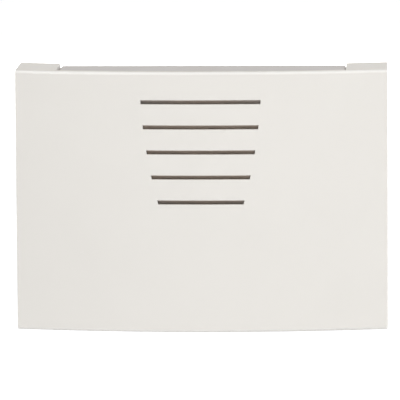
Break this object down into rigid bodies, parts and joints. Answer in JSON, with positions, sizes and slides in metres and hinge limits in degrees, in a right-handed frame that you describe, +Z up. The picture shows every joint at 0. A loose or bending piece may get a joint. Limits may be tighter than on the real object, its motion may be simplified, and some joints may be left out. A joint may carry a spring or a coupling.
{
  "type": "doorbell chime box",
  "caption": "Wall-mounted two-note doorbell chime: bowed slotted cover over a tray with tone bars, coils, sprung plungers and bell-wire terminals.",
  "frame": {"origin": "middle of the flat back face that lies on the wall", "axes": "+X to the right seen from the front, +Y into the wall, +Z up"},
  "size_m": [0.2, 0.049, 0.141],
  "materials": {
    "cover_plastic": "fine satin moulding",
    "tray_plastic": "fine satin moulding",
    "bar_steel": "brushed, zinc plated",
    "grommet_rubber": "matt black",
    "pin_steel": "plain bright",
    "frame_steel": "zinc plated",
    "bobbin_nylon": "natural nylon",
    "winding_copper": "enamelled copper wire",
    "plunger_steel": "ground",
    "striker_nylon": "natural nylon",
    "spring_steel": "drawn wire",
    "felt": "pressed wool felt",
    "board_plastic": "satin black moulding",
    "terminal_brass": "bright",
    "screw_steel": "zinc plated",
    "lead_red": "soft cable sheath",
    "lead_white": "soft cable sheath",
    "lead_green": "soft cable sheath"
  },
  "bodies": {
    "chime_base": {"base_tray": "tray_plastic", "low_tone_bar": "bar_steel", "high_tone_bar": "bar_steel", "low_bar_grommets": "grommet_rubber", "high_bar_grommets": "grommet_rubber", "tone_bar_pins": "pin_steel", "tone_bar_retainers": "screw_steel", "front_coil_bracket": "frame_steel", "rear_coil_bracket": "frame_steel", "front_bobbin": "bobbin_nylon", "rear_bobbin": "bobbin_nylon", "front_coil_winding": "winding_copper", "rear_coil_winding": "winding_copper", "front_plunger_spring": "spring_steel", "rear_plunger_spring": "spring_steel", "rear_stop_felt": "felt", "coil_bracket_screws": "screw_steel", "terminal_board": "board_plastic", "terminal_plates": "terminal_brass", "terminal_clamp_plates": "terminal_brass", "terminal_screws": "screw_steel", "terminal_board_screws": "screw_steel", "front_coil_lead_left": "lead_red", "front_coil_lead_right": "lead_white", "rear_coil_lead_left": "lead_white", "rear_coil_lead_right": "lead_green"},
    "cover": {"cover": "cover_plastic"},
    "front_plunger": {"front_plunger": "plunger_steel", "front_low_striker": "striker_nylon", "front_high_striker": "striker_nylon"},
    "rear_plunger": {"rear_plunger": "plunger_steel", "rear_buffer_tip": "striker_nylon", "rear_high_striker": "striker_nylon"}
  },
  "joints": [
    {"name": "cover_pull_off", "type": "slide", "parent": "chime_base", "child": "cover", "axis": [0, -1, 0], "range_m": [0, 0.08]},
    {"name": "front_plunger_slide", "type": "slide", "parent": "chime_base", "child": "front_plunger", "axis": [1, 0, 0], "range_m": [-0.00245, 0.01095], "stiffness_N_per_m": 30, "deforming": ["front_plunger_spring"]},
    {"name": "rear_plunger_slide", "type": "slide", "parent": "chime_base", "child": "rear_plunger", "axis": [1, 0, 0], "range_m": [0, 0.01095], "stiffness_N_per_m": 30, "deforming": ["rear_plunger_spring"]}
  ]
}
